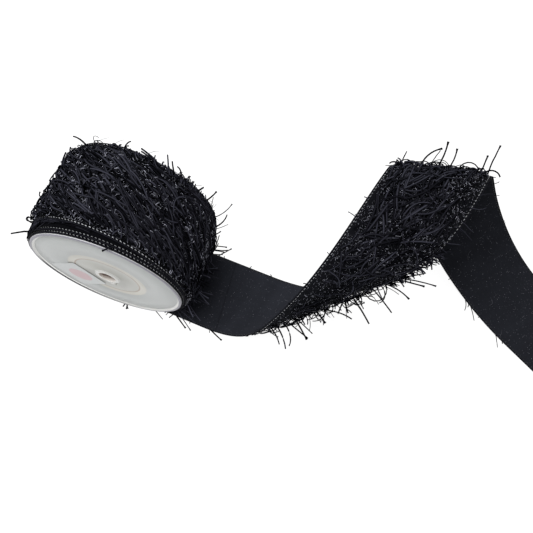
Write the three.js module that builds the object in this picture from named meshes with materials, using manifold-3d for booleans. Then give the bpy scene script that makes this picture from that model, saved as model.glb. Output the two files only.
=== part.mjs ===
// Shaggy wired ribbon wound on its spool, with a loose tail that curls over once and lies down again.
// Millimetres, +Z up. The spool lies on its side with its axis along Y and its front towards -Y.
// The floor is z = 0, and the origin is the middle of the roll's flat spot.
import * as THREE from 'three';
import { mergeVertices } from 'three/addons/utils/BufferGeometryUtils.js';
import Module from 'manifold-3d';

// Ribbon: the base cloth with its pile pressed in
const RIBBON_WIDTH = 63.5;
const SHEET_THICK = 2;
const LUMP = { height: 1.4, longWave: 9, shortWave: 4.3, skew: 14 };
const LUMP_SHARE = { even: 0.55, long: 0.3, short: 0.15 };
const SEAT_GAP = 0.3;

// Wound roll: its outer turn wanders along the axis, so both ends are stepped
const ROLL_RADIUS = 61;
const OUTER_TURN = 1.6;
const OVERHANG_RADIUS = 57.6;
const FLAT_SPOT_DEPTH = 0.9;
const PRESSED_PILE = { flatBelow: -0.9, fullAbove: -0.4 };
const WANDER = { middle: 0.75, reach: 4.6, crest: 160 };
const ROLL_SEGMENTS = 44;
const ROLL_COLUMNS = [-0.5, -0.375, -0.25, -0.125, 0, 0.125, 0.25, 0.375, 0.5];

// Spool: two like flanges on a tube
const FLANGE_RADIUS = 57.15;
const FLANGE_WEB = 2;
const FLANGE_RIM = 3;
const RIM_WIDTH = 2.8;
const RING_RADIUS = 30.5;
const RING_DEPTH = 0.3;
const HUB_RADIUS = 9.5;
const HUB_HEIGHT = 2.8;
const BORE_RADIUS = 6.5;
const SPIGOT = { outer: 25.7, wall: 1.5, length: 6 };
const CORE = { outer: 30, inner: 26 };
const FRONT_INNER_FACE = -35.2;
const BACK_INNER_FACE = 32.2;
const SPOOL_SEGMENTS = 36;

// Label: a blank sticker on the front flange, placed from the axis
const LABEL = { width: 30, height: 32, corner: 2, thick: 0.3, x: -28, z: -13.5, turn: 33 };

// Tail: each row is a stretch of the flat ribbon and the way it bends. Slant is the angle from straight
// across the ribbon to its fold lines, in degrees, at the stretch's start and end.
const TAIL_START = { x: 20, y: 0.25, heading: -5.9 };
const TAIL_STRETCHES = [
  { length: 67, bend: 0, startSlant: -5.9, endSlant: 29.9 }, // lies with its back up
  { length: 104.5, bend: 98.8, startSlant: 29.9, endSlant: 62.8 }, // rises
  { length: 108.8, bend: 94.7, startSlant: 62.8, endSlant: 21.2 }, // rolls over the top
  { length: 45, bend: 108.2, startSlant: 21.2, endSlant: 48.8 }, // folds down
  { length: 144.5, bend: 65.9, startSlant: 48.8, endSlant: 5.7 }, // comes down
  { length: 78, bend: 0, startSlant: 5.7, endSlant: 0 }, // lies to its cut end
];
const STEP_LENGTH = 13;
const STEP_BEND = 11;
const TAIL_COLUMNS = [-0.5, -0.32, -0.16, 0, 0.16, 0.32, 0.5];
const FULL_PILE_HEIGHT = 12;

// Pile rows: narrow bands of laid yarn with cut locks. A place is a share of the ribbon's width.
const ROW = { width: 3, thick: 1.2, gap: 0.5 };
const ROLL_ROWS = { places: [-0.375, -0.125, 0.125, 0.375], start: -32, end: 212, locks: 23, stagger: 0.2 };
const TAIL_ROWS = { places: [-0.32, 0, 0.32], start: 105, end: 425 };
const LOCK = { thick: 1.7, shortest: 12, longest: 19, heading: 38, swing: 10, steps: 2, floor: 1.5 };
const LOCK_LIFT = { low: 34, high: 62 };
const GOLDEN_SHARE = 0.618034;

const BLACK = { color: 0x17171a, roughness: 0.9, metalness: 0 };
const WHITE_PLASTIC = { color: 0xf1f0ec, roughness: 0.35, metalness: 0 };
const CARDBOARD = { color: 0x8a6a48, roughness: 0.9, metalness: 0 };
const PAPER = { color: 0xf6f4f4, roughness: 0.7, metalness: 0 };

const AXIS_HEIGHT = ROLL_RADIUS - FLAT_SPOT_DEPTH;
const toRadians = THREE.MathUtils.degToRad;
const wasm = await Module();
wasm.setup();

const part = new THREE.Group();

function place(name, geometry, look) {
  const mesh = new THREE.Mesh(geometry, new THREE.MeshStandardMaterial(look));
  mesh.name = name;
  part.add(mesh);
  return mesh;
}

// Closed skin over a row of rings. A ring runs along one side and back along the other.
function loft(rings, closed) {
  const count = rings[0].length;
  const positions = rings.flat().flatMap((point) => point.toArray());
  const faces = [];
  const quad = (a, b, c, d) => faces.push(a, b, c, a, c, d);
  const last = closed ? rings.length : rings.length - 1;
  for (let i = 0; i < last; i += 1) {
    const here = i * count;
    const next = ((i + 1) % rings.length) * count;
    for (let j = 0; j < count; j += 1) {
      const k = (j + 1) % count;
      quad(here + j, here + k, next + k, next + j);
    }
  }
  if (!closed) {
    const end = (rings.length - 1) * count;
    for (let j = 0; j < count / 2 - 1; j += 1) {
      const back = count - 1 - j;
      quad(j, back, back - 1, j + 1);
      quad(end + j, end + j + 1, end + back - 1, end + back);
    }
  }
  const geometry = new THREE.BufferGeometry();
  geometry.setAttribute('position', new THREE.Float32BufferAttribute(positions, 3));
  geometry.setIndex(faces);
  return geometry;
}

function solidOf(geometry) {
  const bare = geometry.clone();
  bare.deleteAttribute('normal');
  bare.deleteAttribute('uv');
  const merged = mergeVertices(bare);
  const vertProperties = Float32Array.from(merged.getAttribute('position').array);
  const triVerts = Uint32Array.from(merged.getIndex().array);
  return new wasm.Manifold(new wasm.Mesh({ numProp: 3, vertProperties, triVerts }));
}

function geometryOf(solid) {
  const { vertProperties, triVerts } = solid.getMesh();
  const geometry = new THREE.BufferGeometry();
  geometry.setAttribute('position', new THREE.BufferAttribute(vertProperties, 3));
  geometry.setIndex(new THREE.BufferAttribute(triVerts, 1));
  return geometry;
}

// Uneven pile: it swells between the rows of locks, and lies flat under them and along the edges
function lumpAt(along, placeAcross, rowPlaces) {
  const flat = [-0.5, 0.5, ...rowPlaces].includes(placeAcross);
  const longWave = LUMP_SHARE.long * Math.sin(along / LUMP.longWave + placeAcross * LUMP.skew);
  const shortWave = LUMP_SHARE.short * Math.sin(along / LUMP.shortWave);
  return flat ? 0 : LUMP.height * (LUMP_SHARE.even + longWave + shortWave);
}

// Spool
function flangeGeometry() {
  const spigotInner = SPIGOT.outer - SPIGOT.wall;
  const ringFace = FLANGE_WEB - RING_DEPTH;
  const outline = [
    [BORE_RADIUS, 0],
    [spigotInner, 0],
    [spigotInner, -SPIGOT.length],
    [SPIGOT.outer, -SPIGOT.length],
    [SPIGOT.outer, 0],
    [FLANGE_RADIUS, 0],
    [FLANGE_RADIUS, FLANGE_RIM],
    [FLANGE_RADIUS - RIM_WIDTH, FLANGE_RIM],
    [FLANGE_RADIUS - RIM_WIDTH - FLANGE_RIM + FLANGE_WEB, FLANGE_WEB],
    [RING_RADIUS, FLANGE_WEB],
    [RING_RADIUS - RING_DEPTH, ringFace],
    [HUB_RADIUS, ringFace],
    [HUB_RADIUS, HUB_HEIGHT],
    [BORE_RADIUS, HUB_HEIGHT],
    [BORE_RADIUS, 0],
  ];
  return new THREE.LatheGeometry(outline.map(([r, h]) => new THREE.Vector2(r, h)), SPOOL_SEGMENTS);
}

function addSpool() {
  const back = place('flange_back', flangeGeometry(), WHITE_PLASTIC);
  back.position.set(0, BACK_INNER_FACE, AXIS_HEIGHT);
  const front = place('flange_front', flangeGeometry(), WHITE_PLASTIC);
  front.position.set(0, FRONT_INNER_FACE, AXIS_HEIGHT);
  front.rotation.z = Math.PI;

  const tube = [
    [CORE.inner, FRONT_INNER_FACE + SEAT_GAP],
    [CORE.outer, FRONT_INNER_FACE + SEAT_GAP],
    [CORE.outer, BACK_INNER_FACE - SEAT_GAP],
    [CORE.inner, BACK_INNER_FACE - SEAT_GAP],
    [CORE.inner, FRONT_INNER_FACE + SEAT_GAP],
  ];
  const outline = tube.map(([r, y]) => new THREE.Vector2(r, y));
  const core = place('core', new THREE.LatheGeometry(outline, SPOOL_SEGMENTS), CARDBOARD);
  core.position.z = AXIS_HEIGHT;
}

function addLabel() {
  const { width, height, corner } = LABEL;
  const [right, top] = [width / 2, height / 2];
  const shape = new THREE.Shape();
  shape.moveTo(-right + corner, -top);
  shape.lineTo(right - corner, -top);
  shape.absarc(right - corner, -top + corner, corner, -Math.PI / 2, 0);
  shape.absarc(right - corner, top - corner, corner, 0, Math.PI / 2);
  shape.absarc(-right + corner, top - corner, corner, Math.PI / 2, Math.PI);
  shape.absarc(-right + corner, -top + corner, corner, Math.PI, Math.PI * 1.5);
  const settings = { depth: LABEL.thick, bevelEnabled: false, curveSegments: 3 };
  const label = place('label', new THREE.ExtrudeGeometry(shape, settings), PAPER);
  label.rotation.set(Math.PI / 2, 0, toRadians(LABEL.turn));
  label.position.set(LABEL.x, FRONT_INNER_FACE - FLANGE_WEB - SEAT_GAP, AXIS_HEIGHT + LABEL.z);
}

// Wound roll
const turnMiddle = (angle) => WANDER.middle + WANDER.reach * Math.cos(angle - toRadians(WANDER.crest));

function rollPoint(angle, radius, y) {
  const z = AXIS_HEIGHT + radius * Math.sin(angle);
  return new THREE.Vector3(radius * Math.cos(angle), y, Math.max(z, 0));
}

function addRoll() {
  const innerRadius = CORE.outer + SEAT_GAP;
  const frontEnd = FRONT_INNER_FACE + SEAT_GAP;
  const backEnd = BACK_INNER_FACE - SEAT_GAP;
  const edge = RIBBON_WIDTH / 2;
  const rings = [];
  for (let i = 0; i < ROLL_SEGMENTS; i += 1) {
    const angle = -Math.PI / 2 + (i / ROLL_SEGMENTS) * Math.PI * 2;
    const middle = turnMiddle(angle);
    const { flatBelow, fullAbove } = PRESSED_PILE;
    const pileShare = THREE.MathUtils.smoothstep(Math.sin(angle), flatBelow, fullAbove);
    const ring = [
      rollPoint(angle, innerRadius, frontEnd),
      rollPoint(angle, ROLL_RADIUS - OUTER_TURN, frontEnd),
      rollPoint(angle, ROLL_RADIUS - OUTER_TURN, middle - edge),
    ];
    for (const column of ROLL_COLUMNS) {
      const lump = lumpAt(angle * ROLL_RADIUS, column, ROLL_ROWS.places) * pileShare;
      ring.push(rollPoint(angle, ROLL_RADIUS + lump, middle + column * RIBBON_WIDTH));
    }
    ring.push(
      rollPoint(angle, OVERHANG_RADIUS, middle + edge),
      rollPoint(angle, OVERHANG_RADIUS, backEnd),
      rollPoint(angle, innerRadius, backEnd),
    );
    rings.push(ring);
  }
  place('roll', loft(rings, true), BLACK);
}

// Tail: the flat ribbon lies along X, with its width along Y and its smooth back towards +Z. Each small
// bend turns everything past its fold line about that line, so the cloth is never stretched.
function turnAboutFoldLine(distance, slant, angle) {
  const line = new THREE.Vector3(Math.sin(slant), Math.cos(slant), 0);
  const there = new THREE.Matrix4().makeTranslation(distance, 0, 0);
  const turn = new THREE.Matrix4().makeRotationAxis(line, angle);
  const back = new THREE.Matrix4().makeTranslation(-distance, 0, 0);
  return there.multiply(turn).multiply(back);
}

function tailStations() {
  const matrix = new THREE.Matrix4().makeTranslation(TAIL_START.x, TAIL_START.y, SHEET_THICK / 2);
  matrix.multiply(new THREE.Matrix4().makeRotationZ(toRadians(TAIL_START.heading)));
  const firstSlant = toRadians(TAIL_STRETCHES[0].startSlant);
  const stations = [{ distance: 0, slant: firstSlant, matrix: matrix.clone() }];
  let start = 0;
  for (const { length, bend, startSlant, endSlant } of TAIL_STRETCHES) {
    const steps = Math.ceil(Math.max(length / STEP_LENGTH, bend / STEP_BEND));
    const slantAt = (share) => toRadians(THREE.MathUtils.lerp(startSlant, endSlant, share));
    for (let i = 0; i < steps; i += 1) {
      const middle = (i + 0.5) / steps;
      const end = (i + 1) / steps;
      const angle = -toRadians(bend) / steps;
      matrix.multiply(turnAboutFoldLine(start + length * middle, slantAt(middle), angle));
      stations.push({ distance: start + length * end, slant: slantAt(end), matrix: matrix.clone() });
    }
    start += length;
  }
  return stations;
}

const STATIONS = tailStations();

// A point on the tail: across the ribbon along the fold line, and height towards the smooth back
function tailPoint({ distance, slant, matrix }, across, height) {
  const point = new THREE.Vector3(distance + across * Math.tan(slant), across, height);
  point.applyMatrix4(matrix);
  point.z = Math.max(point.z, 0);
  return point;
}

function addTail() {
  const half = SHEET_THICK / 2;
  const rings = STATIONS.map((station) => {
    const pileShare = THREE.MathUtils.smoothstep(tailPoint(station, 0, 0).z, half, FULL_PILE_HEIGHT);
    const backSide = TAIL_COLUMNS.map((column) => tailPoint(station, column * RIBBON_WIDTH, half));
    const pileSide = TAIL_COLUMNS.map((column) => {
      const lump = lumpAt(station.distance, column, TAIL_ROWS.places) * pileShare;
      return tailPoint(station, column * RIBBON_WIDTH, -half - lump);
    });
    return [...pileSide, ...backSide.reverse()];
  });
  place('tail', loft(rings, false), BLACK);
}

// Pile rows and their locks
const lockSection = new THREE.Shape([
  new THREE.Vector2(-LOCK.thick / 2, -LOCK.thick / 2),
  new THREE.Vector2(LOCK.thick / 2, -LOCK.thick / 2),
  new THREE.Vector2(0, LOCK.thick / 2),
]);

// One lock on a frame whose X runs along the row and whose Z points out of the pile
function lockGeometry(frame, count) {
  const length = THREE.MathUtils.lerp(LOCK.shortest, LOCK.longest, (count * GOLDEN_SHARE) % 1);
  const lift = toRadians(count % 2 ? LOCK_LIFT.low : LOCK_LIFT.high);
  const heading = toRadians(LOCK.heading + LOCK.swing * Math.sin(count));
  const along = new THREE.Vector3(Math.cos(heading), Math.sin(heading), 0);
  const root = new THREE.Vector3(0, 0, ROW.thick / 2);
  const middle = root.clone().addScaledVector(along, (length / 2) * Math.cos(lift));
  middle.z += (length / 2) * Math.sin(lift);
  const tip = root.clone().addScaledVector(along, length * Math.cos(lift / 2));
  tip.z += length * Math.sin(lift / 2);
  const route = [root, middle, tip].map((point) => point.applyMatrix4(frame));
  if (route.some((point) => point.z < LOCK.floor)) {
    return null;
  }
  const extrudePath = new THREE.QuadraticBezierCurve3(...route);
  return new THREE.ExtrudeGeometry(lockSection, { steps: LOCK.steps, extrudePath });
}

function addRow(name, band, frames) {
  let row = solidOf(band);
  frames.forEach((frame, i) => {
    const lock = lockGeometry(frame, i);
    row = lock ? row.add(solidOf(lock)) : row;
  });
  place(name, geometryOf(row), BLACK);
}

function rollFrame(angle, radius, y) {
  const out = new THREE.Vector3(Math.cos(angle), 0, Math.sin(angle));
  const axis = new THREE.Vector3(0, 1, 0);
  const along = new THREE.Vector3().crossVectors(axis, out);
  return new THREE.Matrix4().makeBasis(along, axis, out).setPosition(rollPoint(angle, radius, y));
}

function addRollRows() {
  const { places, start, end, locks, stagger } = ROLL_ROWS;
  const low = ROLL_RADIUS + ROW.gap;
  const high = low + ROW.thick;
  const step = (Math.PI * 2) / ROLL_SEGMENTS;
  const first = Math.round(toRadians(start + 90) / step);
  const last = Math.round(toRadians(end + 90) / step);
  places.forEach((home, row) => {
    const rowMiddle = (angle) => turnMiddle(angle) + home * RIBBON_WIDTH;
    const rings = [];
    for (let i = first; i <= last; i += 1) {
      const angle = -Math.PI / 2 + i * step;
      const y = rowMiddle(angle);
      const corners = [[low, -0.5], [high, -0.5], [high, 0.5], [low, 0.5]];
      rings.push(corners.map(([radius, side]) => rollPoint(angle, radius, y + side * ROW.width)));
    }
    const frames = [];
    for (let i = 0; i < locks; i += 1) {
      const angle = toRadians(THREE.MathUtils.lerp(start, end, (i + 0.5 + stagger * (row % 2)) / locks));
      frames.push(rollFrame(angle, low, rowMiddle(angle)));
    }
    addRow(`pile_row_roll_${row + 1}`, loft(rings, false), frames);
  });
}

function addTailRows() {
  const { places, start, end } = TAIL_ROWS;
  const low = -SHEET_THICK / 2 - ROW.gap;
  const high = low - ROW.thick;
  const covered = STATIONS.filter(({ distance }) => distance >= start && distance <= end);
  const outOfPile = new THREE.Matrix4().makeRotationX(Math.PI);
  places.forEach((home, row) => {
    const across = home * RIBBON_WIDTH;
    const corners = [[-0.5, high], [0.5, high], [0.5, low], [-0.5, low]];
    const rings = covered.map((station) =>
      corners.map(([side, height]) => tailPoint(station, across + side * ROW.width, height)),
    );
    const frames = covered.slice(1, -1).map(({ distance, slant, matrix }) => {
      const root = new THREE.Matrix4().makeTranslation(distance + across * Math.tan(slant), across, low);
      return matrix.clone().multiply(root).multiply(outOfPile);
    });
    addRow(`pile_row_tail_${row + 1}`, loft(rings, false), frames);
  });
}

addSpool();
addLabel();
addRoll();
addTail();
addRollRows();
addTailRows();

export default part;
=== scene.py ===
# %% [markdown]
# Shaggy wired ribbon on its spool.
#
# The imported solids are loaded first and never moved. They fix where everything is: the spool lies on its
# side with its axis along Y and the floor is z = 0. Blender counts in metres, so sizes in millimetres are
# multiplied by MM.

# %% Load the frame
import math
from dataclasses import dataclass

import bmesh
import bpy
import numpy as np
from mathutils import Matrix, Vector


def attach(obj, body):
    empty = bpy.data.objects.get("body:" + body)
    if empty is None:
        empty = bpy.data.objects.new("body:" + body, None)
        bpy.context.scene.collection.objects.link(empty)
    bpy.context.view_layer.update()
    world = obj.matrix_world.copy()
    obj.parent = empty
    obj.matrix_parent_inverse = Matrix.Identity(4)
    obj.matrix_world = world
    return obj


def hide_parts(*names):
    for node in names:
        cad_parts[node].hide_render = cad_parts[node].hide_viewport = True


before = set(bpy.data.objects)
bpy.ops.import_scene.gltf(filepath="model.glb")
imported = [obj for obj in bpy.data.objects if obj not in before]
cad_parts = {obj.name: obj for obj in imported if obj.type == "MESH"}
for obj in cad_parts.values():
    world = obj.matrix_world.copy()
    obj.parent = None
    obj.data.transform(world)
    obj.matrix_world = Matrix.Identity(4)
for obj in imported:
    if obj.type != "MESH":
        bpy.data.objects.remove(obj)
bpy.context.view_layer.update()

# %% [markdown]
# The ribbon is one flat strip. A place on it is two lengths, along and across, and a height over its
# cloth. The spool's sizes and the folds of the strip repeat those of the solids, so that each dressed piece
# lies on the solid that it stands for.

# %% Sizes
MM = 0.001
RIBBON_WIDTH = 63.5 * MM
HALF_WIDTH = RIBBON_WIDTH / 2
CLOTH_THICK = 0.8 * MM
ROLL_RADIUS = 61 * MM
AXIS_HEIGHT = 60.1 * MM
FLANGE_RADIUS = 57.15 * MM
FRONT_INNER_FACE = -35.2 * MM
BACK_INNER_FACE = 32.2 * MM
SPOOL_MIDDLE = (BACK_INNER_FACE + FRONT_INNER_FACE) / 2
SPOOL_HALF = (BACK_INNER_FACE - FRONT_INNER_FACE) / 2
print("ribbon", RIBBON_WIDTH, "roll", 2 * ROLL_RADIUS, "flange", 2 * FLANGE_RADIUS)

# %% [markdown]
# The camera looks down steeply on the spool's front and on the tail's curl. Its place and lens were found by
# matching the flange's rim and the ribbon's edges with the photograph.

# %% Camera
CAMERA_PLACE = Vector((0.1535, -0.1394, 0.3863))
CAMERA_AIM = Vector((0.0998, 0.0318, 0.0))


def add_object(name, data):
    made = bpy.data.objects.new(name, data)
    bpy.context.collection.objects.link(made)
    return made


camera = add_object("camera", bpy.data.cameras.new("camera"))
camera.data.sensor_width = 36
camera.data.lens = 33.02
camera.location = CAMERA_PLACE
camera.rotation_euler = (CAMERA_AIM - CAMERA_PLACE).to_track_quat("-Z", "Y").to_euler()
bpy.context.scene.camera = camera
steepness = math.asin(CAMERA_PLACE.z / (CAMERA_PLACE - CAMERA_AIM).length)
print("camera looks down", round(math.degrees(steepness), 1), "degrees")

# %% [markdown]
# A material is a small network of nodes. Written out link by link it hides what it computes, so one class
# wraps a socket and turns Python's operators into Math nodes, and another holds a material and makes every
# other kind of node with one method.

# %% Shader helpers
def forwards(operation):
    return lambda wire, other=0.0: wire.maths(operation, wire, other)


def reflected(operation):
    return lambda wire, other: wire.maths(operation, other, wire)


class Wire:
    """A node's output, which adds, multiplies and compares as a number does."""

    def __init__(self, finish, socket):
        self.finish, self.socket = finish, socket

    def maths(self, operation, first, second):
        return self.finish.node("ShaderNodeMath", {"operation": operation}, {0: first, 1: second})

    def also(self, output):
        """Another output of the same node."""
        return Wire(self.finish, self.socket.node.outputs[output])

    __add__, __radd__ = forwards("ADD"), reflected("ADD")
    __sub__, __rsub__ = forwards("SUBTRACT"), reflected("SUBTRACT")
    __mul__, __rmul__ = forwards("MULTIPLY"), reflected("MULTIPLY")
    __truediv__, __pow__, __gt__ = forwards("DIVIDE"), forwards("POWER"), forwards("GREATER_THAN")
    sine, cosine, angle_from = forwards("SINE"), forwards("COSINE"), forwards("ARCTAN2")
    absolute, fraction = forwards("ABSOLUTE"), forwards("FRACT")

    def rises(self, start, end):
        """0 below start, 1 above end and a smooth step between them."""
        return self.finish.node(
            "ShaderNodeMapRange",
            {"interpolation_type": "SMOOTHSTEP"},
            {"Value": self, "From Min": start, "From Max": end},
        )

    def band(self, middle, half, soft):
        """1 within half of middle, and 0 beyond a soft edge."""
        return 1 - (self - middle).absolute().rises(half, half + soft)


class Finish:
    """A material on one Principled shader."""

    def __init__(self, name, **constants):
        self.material = bpy.data.materials.new(name)
        self.material.use_nodes = True
        self.tree = self.material.node_tree
        self.shader = self.tree.nodes["Principled BSDF"]
        self.feed(**constants)

    def node(self, kind, settings=None, sockets=None, output=0):
        made = self.tree.nodes.new(kind)
        for name, value in (settings or {}).items():
            setattr(made, name, value)
        for name, value in (sockets or {}).items():
            self.join(value, made.inputs[name])
        return Wire(self, made.outputs[output])

    def join(self, value, socket):
        if isinstance(value, Wire):
            self.tree.links.new(value.socket, socket)
        else:
            socket.default_value = value

    def feed(self, **values):
        for socket, value in values.items():
            self.join(value, self.shader.inputs[socket.replace("_", " ")])

    def place(self):
        """The piece's own coordinates."""
        return self.node("ShaderNodeTexCoord", output="Object")

    def split(self, vector):
        first = self.node("ShaderNodeSeparateXYZ", None, {0: vector})
        return first, first.also(1), first.also(2)

    def attribute(self, name, output):
        return self.node("ShaderNodeAttribute", {"attribute_name": name}, output=output)

    def noise(self, vector, scale, detail=2.0):
        return self.node("ShaderNodeTexNoise", None, {"Vector": vector, "Scale": scale, "Detail": detail})

    def colour(self, red, green, blue):
        return self.node("ShaderNodeCombineColor", None, {0: red, 1: green, 2: blue})

    def mix(self, share, first, second):
        """Two colours, mixed."""
        return self.node("ShaderNodeMix", {"data_type": "RGBA"}, {0: share, 6: first, 7: second}, output=2)

    def bump(self, height, distance, strength):
        sockets = {"Height": height, "Distance": distance, "Strength": strength}
        self.feed(Normal=self.node("ShaderNodeBump", None, sockets))


def grey(level, blue=1.0):
    """A nearly neutral colour, a little bluer for blue above 1."""
    return (level, level, level * blue, 1.0)


print("shader helpers ready")

# %% [markdown]
# Soft light comes from a wide panel overhead and from an even pale surround. The floor is plain and white
# with hardly any shadow. Light alone would leave a grey one, so most of its white is emission. The Standard
# view keeps the floor white and the yarn black.

# %% Light and floor
scene = bpy.context.scene
scene.view_settings.view_transform = "Standard"


def mesh_of(name, shape):
    """A mesh from a bmesh, which is used up."""
    mesh = bpy.data.meshes.new(name)
    shape.to_mesh(mesh)
    shape.free()
    return mesh


panel = add_object("light_panel", bpy.data.lights.new("light_panel", "AREA"))
panel.data.shape = "DISK"
panel.data.size = 1.5
panel.data.energy = 29.0
panel.location = (-0.36, -0.1, 1.5)

world = bpy.data.worlds.new("surround")
world.use_nodes = True
background = world.node_tree.nodes["Background"].inputs
background["Color"].default_value = grey(1.0)
background["Strength"].default_value = 0.3
scene.world = world

floor_finish = Finish(
    "pale_floor", Base_Color=grey(0.14), Roughness=0.85, Specular_IOR_Level=0.1,
    Emission_Color=grey(1.0), Emission_Strength=0.95,
)
shape = bmesh.new()
bmesh.ops.create_grid(shape, x_segments=1, y_segments=1, size=4)
floor = add_object("floor", mesh_of("floor", shape))
floor.data.materials.append(floor_finish.material)
print("panel of", panel.data.energy, "W over a floor", floor.dimensions.x, "wide")

# %% [markdown]
# Every dressed piece is finished in the same way: its mesh takes its finishes and becomes a smooth-shaded
# object at the origin, it rides on the one body of the part, and the solids that it stands for are hidden.

# %% Piece helper
def add_piece(name, mesh, finishes, nodes=()):
    for finish in finishes:
        mesh.materials.append(finish.material)
    mesh.shade_smooth()
    piece = add_object(name, mesh)
    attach(piece, "root")
    if nodes:
        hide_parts(*nodes)
    mesh.calc_loop_triangles()
    print(name, len(mesh.loop_triangles), "triangles")
    return piece


print("piece helper ready")

# %% [markdown]
# The flanges are white moulded plastic. The board tube and the glue behind the web show through as a cream
# ring with a thin brownish line, so the colour depends on the distance from the spool's axis, which the
# shader works out from X and Z. Layers of colour are laid over one another. The bore's wall is painted paler,
# as painted light in the hole. The rim carries painted light and shade: a pale lit slope, a dark shaded bead
# front and a pale lit outer wall. The last two layers are a painted highlight line and a painted shadow line
# at the rim's lower left, and the dark line also stands for the rim's reflection of the black roll. A faint
# mottle and a fine bump break up the flat white.

# %% White plastic
plastic = Finish("white_plastic", IOR=1.46, Specular_IOR_Level=0.4)
whole = plastic.place()
x, y, z = plastic.split(whole)
rise = z - AXIS_HEIGHT
from_axis = (x * x + rise * rise) ** 0.5 / MM
depth = ((y - SPOOL_MIDDLE).absolute() - SPOOL_HALF) / MM
# The rim's lower left, where a painted highlight line and a painted shadow line lie
low_left = (1 - rise.rises(-14 * MM, 8 * MM)) * (1 - x.rises(-45 * MM, 25 * MM))
mottle = plastic.noise(whole, 90.0, 4.0)
tone = plastic.mix(mottle, (0.43, 0.45, 0.445, 1), (0.49, 0.505, 0.5, 1))
plastic_layers = {
    "inside": (0.75 - from_axis.rises(23.5, 24.8) * 0.75, (0.47, 0.465, 0.425, 1)),
    "tube": (from_axis.band(27.3, 1.6, 1.8) * 0.9, (0.6, 0.58, 0.52, 1)),
    "glue": (from_axis.band(24.5, 0.25, 0.5) * 0.95, (0.36, 0.28, 0.22, 1)),
    "hub": (0.8 - from_axis.rises(9.4, 9.9) * 0.8, (0.7, 0.7, 0.68, 1)),
    # Painted light: the bore's wall is paler, standing in for light through the thin plastic into the hole
    "lit_bore": (1 - from_axis.rises(6.6, 6.8), (0.88, 0.85, 0.8, 1)),
    # Painted light and shade on the rim: a pale lit slope, a dark shaded bead front and a pale lit outer wall
    "lit_slope": (from_axis.band(54.5, 0.5, 0.3), (0.72, 0.72, 0.7, 1)),
    "bead": (from_axis.rises(55.1, 55.4), (0.24, 0.235, 0.275, 1)),
    "lit_wall": (from_axis.rises(56.75, 57.0) * (1 - depth.rises(2.1, 2.5)), (0.8, 0.8, 0.81, 1)),
    # A painted highlight line and a painted shadow line at the rim's lower left; the dark one also stands for
    # the rim's reflection of the black roll
    "painted_highlight_line": (from_axis.band(54.2, 0.2, 0.2) * low_left, (1, 1, 0.97, 1)),
    "painted_shadow_line": (from_axis.rises(54.45, 54.65) * low_left * 0.93, (0.02, 0.02, 0.032, 1)),
}
for share, colour in plastic_layers.values():
    tone = plastic.mix(share, tone, colour)
plastic.feed(Base_Color=tone, Roughness=mottle * 0.2 + 0.24)
plastic.bump(plastic.noise(whole, 600.0, 3.0), 0.03 * MM, 0.6)
print("white plastic has layers", *plastic_layers)

# %% [markdown]
# A flange is round, so its half outline is drawn once and spun round the spool's axis. Bevelling the
# outline's corners first rounds the rim bead and the hub all the way round, and the back flange is the same
# outline facing the other way. A spigot reaches into the board tube and a low collar stands behind the hub
# hole. A small moulded stop beside the hole, which a spin can't make, is a bevelled cube.

# %% Flanges
SPIN_STEPS = 128
# Radius and depth in millimetres, with depth counted outwards from the flange's inner face
FLANGE_OUTLINE = [
    (6.5, -0.8), (7.8, -0.8), (7.8, 0), (24.2, 0), (24.2, -6), (25.7, -6), (25.7, 0),
    (57.15, 0), (57.15, 2.8), (55.2, 3), (53.9, 1.5), (53.3, 1.5), (52.8, 2),
    (30.5, 2), (30.2, 1.7), (9.5, 1.7), (9.1, 2.8), (6.5, 2.8),
]
BEVELS = {(57.15, 2.8): 0.6, (55.2, 3): 0.5, (57.15, 0): 0.3, (9.1, 2.8): 0.4, (6.5, 2.8): 0.3}
STOP_SIZE = (4.4 * MM, 1.6 * MM, 2.4 * MM)
STOP_ASIDE, STOP_DEPTH, STOP_BELOW = 2.6 * MM, 2.6 * MM, 9.6 * MM
STOP_TURN, STOP_BEVEL = math.radians(15), 0.3 * MM


def round_off(shape, parts, kind, offset, segments):
    bmesh.ops.bevel(
        shape, geom=parts, offset=offset, affect=kind, segments=segments, profile=0.5, material=-1,
        clamp_overlap=True,
    )


def spun(outline, bevels, face, outwards):
    """A closed ring: an outline of radius and depth in millimetres, spun round the spool's axis."""
    shape = bmesh.new()
    corners = [shape.verts.new((r * MM, face + outwards * d * MM, AXIS_HEIGHT)) for r, d in outline]
    for first, second in zip(corners, corners[1:] + corners[:1]):
        shape.edges.new((first, second))
    for corner, place in zip(corners, outline):
        if place in bevels:
            round_off(shape, [corner], "VERTICES", bevels[place] * MM, 4)
    bmesh.ops.spin(
        shape, geom=shape.verts[:] + shape.edges[:], cent=(0, 0, AXIS_HEIGHT), axis=(0, 1, 0),
        angle=math.tau, steps=SPIN_STEPS, use_merge=True,
    )
    bmesh.ops.remove_doubles(shape, verts=shape.verts[:], dist=1e-7)
    bmesh.ops.recalc_face_normals(shape, faces=shape.faces[:])
    return shape


def add_stop(shape, face, outwards):
    made = bmesh.ops.create_cube(shape, size=1)["verts"]
    middle = (STOP_ASIDE, face + outwards * STOP_DEPTH, AXIS_HEIGHT - STOP_BELOW)
    bmesh.ops.scale(shape, vec=STOP_SIZE, verts=made)
    bmesh.ops.rotate(shape, verts=made, matrix=Matrix.Rotation(STOP_TURN, 3, "Y"))
    bmesh.ops.translate(shape, verts=made, vec=middle)
    round_off(shape, list({edge for vert in made for edge in vert.link_edges}), "EDGES", STOP_BEVEL, 2)


for name, face, outwards in (("flange_front", FRONT_INNER_FACE, -1), ("flange_back", BACK_INNER_FACE, 1)):
    shape = spun(FLANGE_OUTLINE, BEVELS, face, outwards)
    add_stop(shape, face, outwards)
    add_piece(f"{name}_moulding", mesh_of(name, shape), [plastic], [name])

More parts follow.
